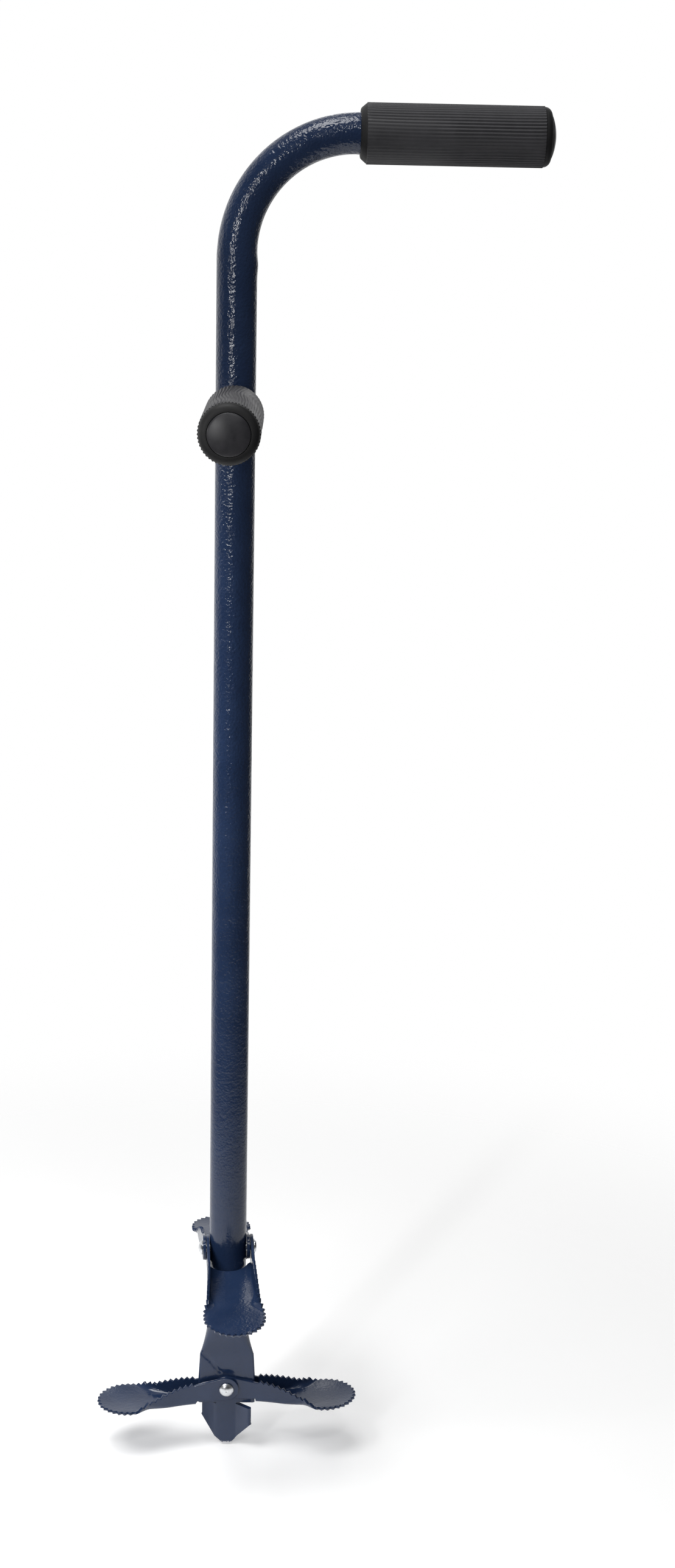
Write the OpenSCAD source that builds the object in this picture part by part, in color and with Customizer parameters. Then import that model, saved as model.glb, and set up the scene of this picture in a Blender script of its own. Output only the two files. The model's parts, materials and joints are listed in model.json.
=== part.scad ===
// Compost aerator: a bent steel tube whose foot is pressed flat into a spear, with two ribbed
// grips and two crossed pairs of hinged, serrated scoop wings.
// Millimetres. Origin at the spear's tip on the shaft's axis, +Z up the shaft, +X along the top
// handle, -Y along the side handle.

/* [Tube] */
// Outside diameter of the tube
tube_od = 25.4; // [22:0.1:30]
// Wall of the tube, and so half the thickness of the pressed spear
tube_wall = 1.6; // [1.2:0.1:2]
// Height of the top handle's axis over the tip
handle_z = 898.4; // [700:0.1:1100]
// Centreline radius of the top bend
bend_r = 74.6; // [60:0.1:100]
// Distance from the shaft's axis to the top handle's open end
handle_reach = 192.5; // [190:0.5:240]
// Height of the side handle's axis
side_z = 728; // [400:1:760]
// Distance from the shaft's axis to the side handle's open end
side_reach = 141; // [137:1:180]
// Turn of the side handle away from square to the top handle
side_turn = 0.8; // [0:0.1:5]

/* [Spear] */
// Full width of the pressed blade
blade_w = 39.9; // [38:0.1:44]
// Height at which the pressing ends and the tube is round again
press_top = 114; // [108:1:130]
// Height of the corners where the foot's flare ends
press_corner = 70; // [68:1:80]
// Width of the foot at those corners
corner_w = 37.8; // [34:0.1:39.5]
// Height at which the foot's two walls meet
press_flat = 66; // [58:0.5:67]
// Height at which the blade reaches its full width
press_bottom = 50; // [45:0.5:60]
// Height of the slits that free the two side flanges
slit_z = 32.8; // [30:0.1:33]
// Width of each slit
slit_w = 1; // [0.5:0.1:2]
// Distance of each flange's fold line from the axis
flange_x = 7; // [5:0.5:9]
// Height of a flange's outer corner, before it is bent
flange_corner_z = 19; // [14:0.5:25]
// Bend of the flanges: one forward, one back
flange_deg = 39; // [20:1:50]
// Width of the blunt tip
tip_w = 4.3; // [2:0.1:8]

/* [Wings] */
// Sheet thickness of the wings
sheet = 2; // [1.5:0.1:2.5]
// Distance from the pivot to the end of the paddle, without teeth
wing_len = 89.1; // [75:0.1:105]
// Half-width of the paddle, without teeth
paddle_y = 19.1; // [17.5:0.1:23]
// Distance from the pivot to the end of the folded walls
fold_end = 63.5; // [56:0.5:68]
// Depth of the floor's underside below the pivot
floor_drop = 12; // [11:0.1:14]
// Radius of the ears
ear_r = 8.5; // [7:0.1:9.5]
// Height of the walls over the pivot where the teeth start
wall_top = 3; // [1:0.1:5]
// Distance from the pivot to the first tooth
teeth_start = 22.5; // [21.5:0.5:26]
// Length of one tooth along the edge
tooth_pitch = 3.9; // [3:0.1:6]
// Height of one tooth
tooth_h = 1.9; // [1:0.1:2.5]

/* [Pivots] */
// Height of the lower pair's pivot
lower_z = 45.4; // [45:0.1:50]
// Height of the upper pair's pivot
upper_z = 152; // [143:1:300]
// Turn of the upper pin away from the handle's plane
upper_turn = 4; // [0:1:10]
// Radius of both rivets
pin_r = 3; // [2.5:0.1:3.5]
// Radius of the domed rivet heads
head_r = 5; // [4.5:0.1:6]
// Height of the domed rivet heads
head_h = 2.6; // [1.5:0.1:3.5]
// Washer thickness
washer_t = 1; // [0.8:0.1:1.5]
// Droop of the upper front wing's tip on its stop
upper_front_droop = 7.7; // [0:0.1:8]
// Droop of the upper rear wing's tip on its stop
upper_rear_droop = 6; // [0:0.1:8]
// Rise of the lower right wing's tip on its stop
lower_right_rise = 1.8; // [-2:0.1:4]
// Rise of the lower left wing's tip on its stop
lower_left_rise = -0.8; // [-2:0.1:4]

/* [Grips] */
// Outside diameter over the grips' ribs
grip_od = 37; // [34:0.1:42]
// Length of the top grip
top_grip_len = 117.5; // [100:0.5:117.5]
// Length of the side grip
side_grip_len = 117.5; // [90:0.5:120]
// Rounding of the grips' outer ends
grip_round = 4.5; // [2:0.1:6]
// Chamfer of the grips' inner ends
grip_chamfer = 3.5; // [1:0.1:5]
// Height of the end plugs' domes
plug_dome = 3; // [2:0.1:6]
// Length of the end plugs inside the tubes
plug_len = 14; // [8:1:25]

/* [Clearances] */
// Radial running clearance of a wing on its rivet
pin_gap = 0.06; // [0.02:0.01:0.1]
// Gap between faces that slide past each other
side_gap = 0.35; // [0.3:0.05:0.6]
// Fit-up gap between the side handle's cope and the shaft, bridged by the weld
cope_gap = 0.1; // [0.05:0.05:0.5]

/* [Hidden] */

$fn = 64;
tube_r = tube_od / 2;
bore_r = tube_r - tube_wall;
blade_t = 2 * tube_wall;
shaft_top = handle_z - bend_r;
eps = 0.01;

navy = [0.09, 0.13, 0.24];
zinc = [0.75, 0.76, 0.78];
charcoal = [0.2, 0.2, 0.21];
black = [0.12, 0.12, 0.12];

// Stagger of the arms: each wing has one inner arm and one outer arm, so that both wings of a
// pair are the same part turned half round. arm_inner is the inner arm's inner face.
function arm_inner(core) = core + side_gap;
function arm_outer(core) = core + 2 * side_gap + sheet;
function stack_half(core) = core + 3 * side_gap + 2 * sheet;

// ---- spear ------------------------------------------------------------------------------

// How far along the foot a height is: 0 at its top, 1 at the height called low
function down(z, low) = min(1, max(0, (press_top - z) / (press_top - low)));
function ease(t) = t * t * (3 - 2 * t);

// Half-width of the foot: a flare down to its corners, then a slight taper
function press_a(z) =
    z > press_corner
    ? tube_r + (corner_w / 2 - tube_r) * pow(down(z, press_corner), foot_power)
    : corner_w / 2 + (blade_w - corner_w) / 2
        * min(1, (press_corner - z) / (press_corner - press_bottom));

// Half-thickness of the foot, pressed until its walls meet
function press_b(z) = tube_r - (tube_r - tube_wall) * ease(down(z, press_flat));

// A ring of points round a section with two flat sides and two round ends
function stadium(a, b, z, sides) =
    [for (i = [0 : sides - 1])
        let (f = 360 * (i + 0.5) / sides)
        [b * cos(f) + (cos(f) > 0 ? a - b : b - a), b * sin(f), z]];

// A closed skin over rings of equally many points
module loft(rings) {
    sides = len(rings[0]);
    last = len(rings) - 1;
    points = [for (ring = rings) for (p = ring) p];
    skin = [for (k = [0 : last - 1]) for (i = [0 : sides - 1])
        [k * sides + i, (k + 1) * sides + i,
         (k + 1) * sides + (i + 1) % sides, k * sides + (i + 1) % sides]];
    polyhedron(points, concat(skin,
        [[for (i = [0 : sides - 1]) i]],
        [[for (i = [sides - 1 : -1 : 0]) last * sides + i]]), convexity = 4);
}

press_sides = 40;
press_steps = 14;
// Small inward step where the pressed foot meets the round tube
press_step = 0.1;
// Curve of the foot's flare
foot_power = 2.3;

// Heights of the rings from flat to round
press_zs = concat([press_bottom, press_flat],
    [for (k = [0 : press_steps])
        press_corner + (press_top - press_corner) * k / press_steps]);

// Outside of the foot from the slits to the round tube, reaching a little into its wall
module press_outside() {
    loft(concat(
        [stadium(blade_w / 2, tube_wall, slit_z, press_sides)],
        [for (z = press_zs) if (z < press_top - eps)
            stadium(press_a(z), press_b(z), z, press_sides)],
        [stadium(tube_r - press_step, tube_r - press_step, press_top, press_sides),
         stadium(tube_r - tube_wall / 4, tube_r - tube_wall / 4,
                 press_top + tube_wall / 4, press_sides)]));
}

// Hollow of the foot, from where its walls part up into the round bore
module press_hollow() {
    open_zs = [for (z = press_zs)
        if (press_b(z) > 1.5 * tube_wall && z < press_top - eps) z];
    loft(concat(
        [for (z = open_zs)
            stadium(press_a(z) - tube_wall, press_b(z) - tube_wall, z, press_sides)],
        [stadium(bore_r - press_step, bore_r - press_step, press_top, press_sides),
         stadium(bore_r - tube_wall / 4, bore_r - tube_wall / 4,
                 press_top + tube_wall / 4, press_sides)]));
}

// Straight shaft, bend and handle as one round bar of radius r, over-running its end by extra
module round_run(r, extra) {
    translate([0, 0, press_top])
        cylinder(h = shaft_top - press_top, r = r);
    translate([bend_r, 0, shaft_top])
        rotate([90, 0, 0])
            rotate([0, 0, 90])
                rotate_extrude(angle = 90)
                    translate([bend_r, 0])
                        circle(r);
    translate([bend_r, 0, handle_z])
        rotate([0, 90, 0])
            cylinder(h = handle_reach - bend_r + extra, r = r);
}

// Outline of one half of the flat blade below the slits, unbent
module lower_half(x0, x1) {
    corner_x = blade_w / 2;
    slope = flange_corner_z / (corner_x - tip_w / 2);
    low0 = max(0, (x0 - tip_w / 2) * slope);
    low1 = (x1 - tip_w / 2) * slope;
    polygon(concat(
        [[x0, slit_z], [x0, low0]],
        x0 < tip_w / 2 ? [[tip_w / 2, 0]] : [],
        [[x1, low1], [x1, slit_z]]));
}

// A flat plate drawn in x and z, centred on the blade's plane
module plate() {
    rotate([90, 0, 0])
        linear_extrude(blade_t, center = true)
            children();
}

module flange(sign) {
    translate([flange_x, 0, 0])
        rotate([0, 0, -sign * flange_deg])
            translate([-flange_x, 0, 0])
                plate()
                    difference() {
                        lower_half(flange_x, blade_w / 2);
                        translate([flange_x, slit_z - slit_w])
                            square([blade_w, slit_w + 1]);
                    }
}

module spear() {
    // centre strip down to the tip, its top inside the full-width blade
    plate() {
        for (m = [0, 1])
            mirror([m, 0])
                lower_half(-eps, flange_x);
        translate([-flange_x, slit_z - eps])
            square([2 * flange_x, 2]);
    }
    flange(1);
    mirror([1, 0, 0])
        flange(-1);
}

module main_tube() {
    color(navy)
        difference() {
            union() {
                round_run(tube_r, 0);
                press_outside();
                spear();
            }
            round_run(bore_r, 1);
            press_hollow();
            upper_pin_hole();
            translate([0, 0, lower_z])
                rotate([90, 0, 0])
                    cylinder(h = 2 * blade_t, r = pin_r, center = true);
        }
}

module upper_pin_hole() {
    translate([0, 0, upper_z])
        rotate([0, 90, upper_turn])
            cylinder(h = 2 * tube_od, r = pin_r, center = true);
}

// ---- side handle ------------------------------------------------------------------------

// Bead radius of the weld, and how far it rounds off where the cope runs out at the sides
bead_r = 2.6;
bead_ease = 2.5;

module side_handle_tube() {
    color(navy)
        difference() {
            at_side_end()
                mirror([0, 0, 1])
                    difference() {
                        cylinder(h = side_reach, r = tube_r);
                        translate([0, 0, -1])
                            cylinder(h = side_reach + 2, r = bore_r);
                    }
            cylinder(h = shaft_top, r = tube_r + cope_gap);
        }
}

// Weld bead along the cope, a round section carried round the handle tube
module side_handle_weld() {
    turns = 48;
    sides = 10;
    rings = [for (k = [0 : turns - 1])
        let (f = 360 * (k + 0.5) / turns,
             y = -sqrt(pow(tube_r * sin(f), 2) + bead_ease * bead_ease))
        [for (i = [0 : sides - 1])
            let (g = 360 * i / sides, r = tube_r + bead_r * cos(g) * 0.8)
            [r * cos(f), y + bead_r * sin(g), side_z + r * sin(f)]]];
    points = [for (ring = rings) for (p = ring) p];
    faces = [for (k = [0 : turns - 1]) for (i = [0 : sides - 1])
        let (n = (k + 1) % turns, j = (i + 1) % sides)
        [k * sides + i, k * sides + j, n * sides + j, n * sides + i]];
    color(navy)
        difference() {
            rotate([0, 0, -side_turn])
                polyhedron(points, faces, convexity = 6);
            cylinder(h = shaft_top, r = tube_r, $fn = 256);
            at_side_end()
                mirror([0, 0, 1])
                    cylinder(h = side_reach, r = tube_r, $fn = 256);
        }
}

// ---- grips and plugs --------------------------------------------------------------------

// A grip along +Z whose outer end is at 0 and whose bore fits the tube
module grip(length) {
    r = grip_od / 2;
    wall = r - tube_r;
    outer = min(grip_round, 0.85 * wall);
    inner = min(grip_chamfer, 0.85 * wall);
    rotate_extrude()
        polygon(concat(
            [[tube_r, 0]],
            [for (f = [0 : 15 : 90])
                [r - outer + outer * sin(f), -outer + outer * cos(f)]],
            [[r, -length + inner], [r - inner, -length], [tube_r, -length]]));
}

module end_plug() {
    dome_r = (tube_r * tube_r + plug_dome * plug_dome) / (2 * plug_dome);
    intersection() {
        translate([0, 0, plug_dome - dome_r])
            sphere(dome_r, $fn = 96);
        cylinder(h = plug_dome + 1, r = tube_r);
    }
    translate([0, 0, -plug_len])
        cylinder(h = plug_len, r = bore_r);
}

module at_top_end() {
    translate([handle_reach, 0, handle_z])
        rotate([0, 90, 0])
            children();
}

module at_side_end() {
    translate([0, 0, side_z])
        rotate([90, 0, -side_turn])
            translate([0, 0, side_reach])
                children();
}

module top_grip() {
    color(charcoal)
        at_top_end() grip(top_grip_len);
}

module side_grip() {
    color(charcoal)
        at_side_end() grip(side_grip_len);
}

module top_end_plug() {
    color(black)
        at_top_end() end_plug();
}

module side_end_plug() {
    color(black)
        at_side_end() end_plug();
}

// ---- rivets -----------------------------------------------------------------------------

// A rivet along +Z: domed head below -half, plain shank, and a tail peened over its washer
module rivet(half) {
    tail = half + washer_t;
    dome_r = (head_r * head_r + head_h * head_h) / (2 * head_h);
    translate([0, 0, -half])
        cylinder(h = tail + half, r = pin_r);
    translate([0, 0, -half])
        mirror([0, 0, 1])
            intersection() {
                translate([0, 0, head_h - dome_r])
                    sphere(dome_r);
                cylinder(h = head_h + 1, r = head_r);
            }
    translate([0, 0, tail])
        cylinder(h = 1, r = pin_r + 0.9);
}

module rivet_washer(half) {
    translate([0, 0, half])
        difference() {
            cylinder(h = washer_t, r = head_r);
            translate([0, 0, -1])
                cylinder(h = washer_t + 2, r = pin_r);
        }
}

module on_upper_pin() {
    translate([0, 0, upper_z])
        rotate([0, 90, upper_turn])
            children();
}

// The lower rivet's head is at the front
module on_lower_pin() {
    translate([0, 0, lower_z])
        rotate([-90, 0, 0])
            children();
}

module upper_rivet() {
    color(zinc)
        on_upper_pin() rivet(stack_half(tube_r));
}

module upper_rivet_washer() {
    color(zinc)
        on_upper_pin() rivet_washer(stack_half(tube_r));
}

module lower_rivet() {
    color(zinc)
        on_lower_pin() rivet(stack_half(tube_wall));
}

module lower_rivet_washer() {
    color(zinc)
        on_lower_pin() rivet_washer(stack_half(tube_wall));
}

// ---- wings ------------------------------------------------------------------------------
// A wing lies in its own frame: u from the pivot outward, y across, w up, pivot at the origin.

// Shape of the plan: how the fold lines flare, and how the walls' edge falls to the floor
flare_power = 1.43;
edge_power = 1.55;
flare_start = 18;

// Half-width over the fold at u; root is the half-width at the ears
function fold_y(u, root) =
    root + (paddle_y - root)
        * pow(max(0, min(1, (u - flare_start) / (fold_end - flare_start))), flare_power);

// Height of the walls' edge at u, before the teeth
function edge_w(u) =
    wall_top - (wall_top + floor_drop)
        * pow(max(0, min(1, (u - teeth_start) / (fold_end - teeth_start))), edge_power);

// A serrated line: a list of [point, normal] pairs, every second one pushed out by a tooth
function serrate(line) =
    [for (i = [0 : len(line) - 1]) line[i][0] + (i % 2) * tooth_h * line[i][1]];

// The walls' serrated edge, from the ears outward
function wall_edge() =
    let (run = norm([fold_end - teeth_start, wall_top + floor_drop]),
         n = 2 * round(run / tooth_pitch))
    serrate([for (i = [0 : n])
        let (u = teeth_start + (fold_end - teeth_start) * i / n,
             d = [0.2, edge_w(u + 0.1) - edge_w(u - 0.1)])
        [[u, edge_w(u)], [-d[1], d[0]] / norm(d)]]);

// The paddle's serrated rim, from one fold end round the tip to the other
function rim() =
    let (centre = wing_len - paddle_y,
         straight = centre - fold_end,
         run = 2 * straight + PI * paddle_y,
         n = 2 * round(run / tooth_pitch))
    serrate([for (i = [0 : n])
        let (s = run * i / n,
             a = (s - straight) / paddle_y * 180 / PI)
        s < straight ? [[fold_end + s, paddle_y], [0, 1]]
        : a > 180 ? [[centre - (s - straight - PI * paddle_y), -paddle_y], [0, -1]]
        : [[centre + paddle_y * sin(a), paddle_y * cos(a)], [sin(a), cos(a)]]]);

plan_steps = 12;

// The two folded walls: their bands seen from above, cut to their side view
module wing_walls(root, floor_u) {
    us = [for (k = [0 : plan_steps]) flare_start + (fold_end - flare_start) * k / plan_steps];
    edge = wall_edge();
    side = concat(
        [for (k = [0 : 12])
            let (f = 80 + k * 200 / 12)
            ear_r * [cos(f), sin(f)]],
        [[floor_u, -floor_drop], [fold_end, -floor_drop]],
        [for (i = [len(edge) - 2 : -1 : 0]) edge[i]]);
    intersection() {
        // the two bands of the walls seen from above
        translate([0, 0, -floor_drop - 1])
            linear_extrude(floor_drop + ear_r + 2)
                for (m = [0, 1])
                    mirror([0, m])
                        polygon(concat(
                            [[-ear_r - 1, root - sheet], [-ear_r - 1, root]],
                            [for (u = us) [u, fold_y(u, root)]],
                            [for (k = [plan_steps : -1 : 0])
                                let (u = us[k],
                                     rise = (fold_y(u + 0.1, root) - fold_y(u - 0.1, root)) / 0.2)
                                [u, fold_y(u, root) - sheet * sqrt(1 + rise * rise)]]));
        rotate([90, 0, 0])
            linear_extrude(3 * paddle_y, center = true)
                polygon(side);
    }
}

module wing_floor(root, floor_u) {
    us = [for (k = [1 : plan_steps]) flare_start + (fold_end - flare_start) * k / plan_steps];
    teeth = rim();
    translate([0, 0, -floor_drop])
        linear_extrude(sheet)
            polygon(concat(
                [[floor_u, -root], [floor_u, root]],
                [for (u = us) if (u > floor_u) [u, fold_y(u, root)]],
                [for (i = [1 : len(teeth) - 2]) teeth[i]],
                [for (k = [plan_steps - 1 : -1 : 0])
                    if (us[k] > floor_u) [us[k], -fold_y(us[k], root)]]));
}

// One wing for a core of this half-width; floor_u is where its floor starts, notch the radius
// of the bite that clears a round tube, or 0
module wing(core, floor_u, notch) {
    mid = (arm_outer(core) - arm_inner(core)) / 2;
    root = (arm_outer(core) + arm_inner(core)) / 2 + sheet;
    difference() {
        translate([0, mid, 0]) {
            wing_walls(root, floor_u);
            wing_floor(root, floor_u);
        }
        rotate([90, 0, 0])
            cylinder(h = 4 * root, r = pin_r + pin_gap, center = true);
        if (notch > 0)
            translate([0, 0, -floor_drop - 1])
                cylinder(h = sheet + 2, r = notch);
    }
}

// Distance from the pivot at which a floor's lower edge meets a face with the wing at rise
function stop_u(face, rise) =
    (face + side_gap - floor_drop * sin(rise)) / cos(rise);

module wing_place(z, turn, rise) {
    translate([0, 0, z])
        rotate([0, 0, turn])
            rotate([0, -rise, 0])
                children();
}

// Distance from the pivot at which the upper wings' floors start, beside the bite for the tube
upper_floor_u = 6;

module upper_front_wing() {
    color(navy)
        wing_place(upper_z, upper_turn - 90, -upper_front_droop)
            wing(tube_r, upper_floor_u, stop_u(tube_r, -upper_front_droop));
}

module upper_rear_wing() {
    color(navy)
        wing_place(upper_z, upper_turn + 90, -upper_rear_droop)
            wing(tube_r, upper_floor_u, stop_u(tube_r, -upper_rear_droop));
}

module lower_left_wing() {
    color(navy)
        wing_place(lower_z, 180, lower_left_rise)
            wing(tube_wall, stop_u(blade_w / 2, lower_left_rise), 0);
}

module lower_right_wing() {
    color(navy)
        wing_place(lower_z, 0, lower_right_rise)
            wing(tube_wall, stop_u(blade_w / 2, lower_right_rise), 0);
}

main_tube();
side_handle_tube();
side_handle_weld();
top_grip();
side_grip();
top_end_plug();
side_end_plug();
upper_rivet();
upper_rivet_washer();
lower_rivet();
lower_rivet_washer();
upper_front_wing();
upper_rear_wing();
lower_left_wing();
lower_right_wing();
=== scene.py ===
"""A compost aerator: bent and pressed steel tube, two ribbed grips, four riveted scoop wings."""
import json
import math

import bmesh
import bpy
from mathutils import Matrix, Vector, geometry, noise


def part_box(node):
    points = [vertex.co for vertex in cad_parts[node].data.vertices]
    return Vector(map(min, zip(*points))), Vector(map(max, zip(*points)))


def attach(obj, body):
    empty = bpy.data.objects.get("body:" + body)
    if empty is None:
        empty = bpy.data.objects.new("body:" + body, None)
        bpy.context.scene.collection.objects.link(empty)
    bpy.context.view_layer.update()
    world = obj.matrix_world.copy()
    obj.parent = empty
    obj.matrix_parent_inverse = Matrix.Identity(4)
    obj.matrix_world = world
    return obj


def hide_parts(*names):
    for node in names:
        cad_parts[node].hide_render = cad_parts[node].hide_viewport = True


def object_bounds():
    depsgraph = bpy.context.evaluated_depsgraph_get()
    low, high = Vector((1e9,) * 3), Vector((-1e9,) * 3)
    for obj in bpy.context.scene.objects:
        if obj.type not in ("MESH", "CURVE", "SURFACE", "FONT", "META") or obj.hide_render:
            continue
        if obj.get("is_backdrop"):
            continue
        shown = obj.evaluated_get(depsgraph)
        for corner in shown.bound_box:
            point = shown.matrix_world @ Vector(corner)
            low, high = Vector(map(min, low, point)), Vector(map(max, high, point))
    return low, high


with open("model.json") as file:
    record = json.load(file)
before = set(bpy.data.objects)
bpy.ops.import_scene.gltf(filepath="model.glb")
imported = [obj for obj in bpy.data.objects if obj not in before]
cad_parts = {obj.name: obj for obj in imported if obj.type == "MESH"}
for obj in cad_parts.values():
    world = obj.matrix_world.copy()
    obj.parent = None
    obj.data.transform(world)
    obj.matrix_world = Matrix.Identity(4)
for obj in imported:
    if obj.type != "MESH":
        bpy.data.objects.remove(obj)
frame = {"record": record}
cad_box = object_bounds()

MM = 0.001

# ---- main tube ---------------------------------------------------------------------------
# One 25.4 mm steel tube. Its top is drawn round a bender into the handle, and its foot is
# pressed flat, slit on both sides and sheared to a spear whose two flanges are bent apart.
# It is sprayed with glossy navy powder and baked, which leaves an orange-peel skin.

TUBE_R = 12.7
WALL = 1.6
BLADE_HALF = 19.95
PRESS_TOP = 114.0
PRESS_CORNER = 70.0
PRESS_FLAT = 66.0
PRESS_BOTTOM = 50.0
CORNER_HALF = 18.9
SLIT_TOP = 32.8
SLIT_BOTTOM = 31.8
FOLD_X = 7.0
FLANGE_BEND = math.radians(39)
FLANGE_BEND_R = 2.5
CORNER_Z = 19.0
TIP_HALF = 2.15
PRESS_FLARE = 2.3
WRINKLE_DEPTH = 1.0
WRINKLE_HALF = 1.25
DENT_DEPTH = 0.9
GATHER = 0.55


def lerp(a, b, t):
    return a + (b - a) * t


def ease(t):
    """Smooth step from 0 to 1, held outside."""
    t = min(1.0, max(0.0, t))
    return t * t * (3 - 2 * t)


def build(name, points, faces, sharp=40):
    """A mesh object from points in millimetres, with doubles welded and normals outward."""
    mesh = bpy.data.meshes.new(name)
    mesh.from_pydata([Vector(p) * MM for p in points], [], faces)
    piece = bpy.data.objects.new(name, mesh)
    bpy.context.scene.collection.objects.link(piece)
    work = bmesh.new()
    work.from_mesh(mesh)
    bmesh.ops.remove_doubles(work, verts=work.verts, dist=0.004 * MM)
    bmesh.ops.dissolve_degenerate(work, edges=work.edges, dist=0.002 * MM)
    bmesh.ops.recalc_face_normals(work, faces=work.faces)
    for edge in work.edges:
        edge.smooth = len(edge.link_faces) == 2 and edge.calc_face_angle(0) < math.radians(sharp)
    for face in work.faces:
        face.smooth = True
    work.to_mesh(mesh)
    work.free()
    return piece


class Shade:
    """The node tree of a material or a world, whose sockets combine with Python operators."""

    def __init__(self, name, kind="materials", surface="Principled BSDF"):
        self.material = getattr(bpy.data, kind).new(name)
        self.material.use_nodes = True
        self.tree = self.material.node_tree
        self.surface = self.tree.nodes[surface]

    def node(self, kind, settings=None, **values):
        """Add a node, make its settings, then feed its inputs by name or index."""
        made = self.tree.nodes.new(kind)
        for key, value in (settings or {}).items():
            if key == "stops":
                ramp = made.color_ramp
                while len(ramp.elements) < len(value):
                    ramp.elements.new(0.5)
                for element, (place, colour) in zip(ramp.elements, value):
                    element.position = place
                    element.color = colour
            else:
                setattr(made, key, value)
        for key, value in values.items():
            socket = made.inputs[int(key[1:]) if key[1:].isdigit() else key.replace("_", " ")]
            self.feed(socket, value)
        return made

    def feed(self, socket, value):
        if isinstance(value, Value):
            self.tree.links.new(value.socket, socket)
        else:
            socket.default_value = value

    def place(self, kind="Object"):
        """The point in the piece's own metres."""
        return Value(self, self.node("ShaderNodeTexCoord").outputs[kind])

    def noise(self, place, scale, detail, rough=0.5):
        made = self.node("ShaderNodeTexNoise", Vector=place, Scale=scale, Detail=detail,
                         Roughness=rough)
        return Value(self, made.outputs["Fac"])

    def axis(self, place, index):
        made = self.node("ShaderNodeSeparateXYZ", Vector=place)
        return Value(self, made.outputs[index])

    def ramp(self, value, low, high):
        """0 below low, 1 above high, smooth between."""
        made = self.node("ShaderNodeMapRange", {"interpolation_type": "SMOOTHSTEP"},
                         Value=value, From_Min=low, From_Max=high, To_Min=0.0, To_Max=1.0)
        return Value(self, made.outputs["Result"])

    def mix(self, mask, first, second):
        """Mix two colours by a mask."""
        made = self.node("ShaderNodeMix", {"data_type": "RGBA"}, _0=mask, _6=first, _7=second)
        return Value(self, made.outputs[2])

    def set(self, **values):
        """Set the surface's own sockets."""
        for key, value in values.items():
            self.feed(self.surface.inputs[key.replace("_", " ")], value)

    def bump(self, height, strength, distance):
        """Feed the surface's normal from a height."""
        made = self.node("ShaderNodeBump", Height=height, Strength=strength, Distance=distance)
        self.feed(self.surface.inputs["Normal"], Value(self, made.outputs["Normal"]))


class Value:
    """One number or colour on its way through a material, with the usual operators."""

    def __init__(self, shade, socket):
        self.shade = shade
        self.socket = socket

    def math(self, operation, first, second):
        made = self.shade.node("ShaderNodeMath", {"operation": operation}, _0=first, _1=second)
        return Value(self.shade, made.outputs[0])

    def __add__(self, other):
        return self.math("ADD", self, other)

    def __radd__(self, other):
        return self.math("ADD", other, self)

    def __sub__(self, other):
        return self.math("SUBTRACT", self, other)

    def __rsub__(self, other):
        return self.math("SUBTRACT", other, self)

    def __mul__(self, other):
        return self.math("MULTIPLY", self, other)

    def __rmul__(self, other):
        return self.math("MULTIPLY", other, self)


NAVY_DARK = (0.0130, 0.0270, 0.0700, 1)
NAVY_LIGHT = (0.0180, 0.0350, 0.0860, 1)
BARE_STEEL = (0.58, 0.58, 0.60, 1)
TUBE_PEEL = 0.42 * MM


def powder_coat(name, peel_depth, worn_tip=False):
    """Glossy navy powder coat with orange peel, rubbed down to steel at a spear's tip."""
    coat = Shade(name)
    place = coat.place()
    tone = coat.noise(place, 35.0, 3.0)
    peel = coat.noise(place, 620.0, 1.0, 0.4)
    ripples = peel + 0.9 * coat.noise(place, 210.0, 1.0)
    colour = coat.mix(coat.ramp(tone, 0.3, 0.7), NAVY_DARK, NAVY_LIGHT)
    roughness = 0.15 + 0.10 * coat.ramp(coat.noise(place, 90.0, 3.0), 0.35, 0.75)
    if worn_tip:
        height = coat.axis(place, 2)
        ragged = height + 0.0030 * coat.noise(place, 700.0, 3.0)
        bare = 1.0 - coat.ramp(ragged, 3.0 * MM, 4.0 * MM)
        colour = coat.mix(bare, colour, BARE_STEEL)
        roughness = roughness + 0.12 * bare
        coat.set(Metallic=bare)
        # the coat flowed out smoother towards the foot
        ripples = ripples * (0.22 + 0.78 * coat.ramp(height, 170 * MM, 480 * MM))
    coat.set(Base_Color=colour, Roughness=roughness, Specular_IOR_Level=0.5)
    coat.bump(ripples, 1.0, peel_depth)
    return coat.material


# The tube's round end at the handle, and the axis it runs on, from its grip and plug
plug_low, plug_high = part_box("top_end_plug")
HANDLE_Z = (plug_low[2] + plug_high[2]) / 2 / MM
HANDLE_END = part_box("main_tube")[1][0] / MM
BEND_R = 74.6
SHAFT_TOP = HANDLE_Z - BEND_R
BEND_SQUEEZE = 0.055

# A ring's points by their share of a quarter of the way round. On the flat blade they fall on
# the fold line and on the start of the rounded edge.
FOLD_COLUMNS = 8
FLAT_COLUMNS = 18
QUARTER = 22
RING = 4 * QUARTER
blade_flat = BLADE_HALF - WALL
blade_quarter = blade_flat + WALL * math.pi / 2
shares = [j / FOLD_COLUMNS * FOLD_X / blade_quarter for j in range(FOLD_COLUMNS)]
shares += [lerp(FOLD_X, blade_flat, (j - FOLD_COLUMNS) / (FLAT_COLUMNS - FOLD_COLUMNS))
           / blade_quarter for j in range(FOLD_COLUMNS, FLAT_COLUMNS)]
shares += [lerp(blade_flat, blade_quarter, (j - FLAT_COLUMNS) / (QUARTER - FLAT_COLUMNS))
           / blade_quarter for j in range(FLAT_COLUMNS, QUARTER + 1)]


def ring_slots():
    """Each ring point as (quarter index, side, face): front right, back right, back left..."""
    slots = [(j, 1, -1) for j in range(QUARTER)]
    slots += [(QUARTER - j, 1, 1) for j in range(QUARTER)]
    slots += [(j, -1, 1) for j in range(QUARTER)]
    slots += [(QUARTER - j, -1, -1) for j in range(QUARTER)]
    return slots


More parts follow.
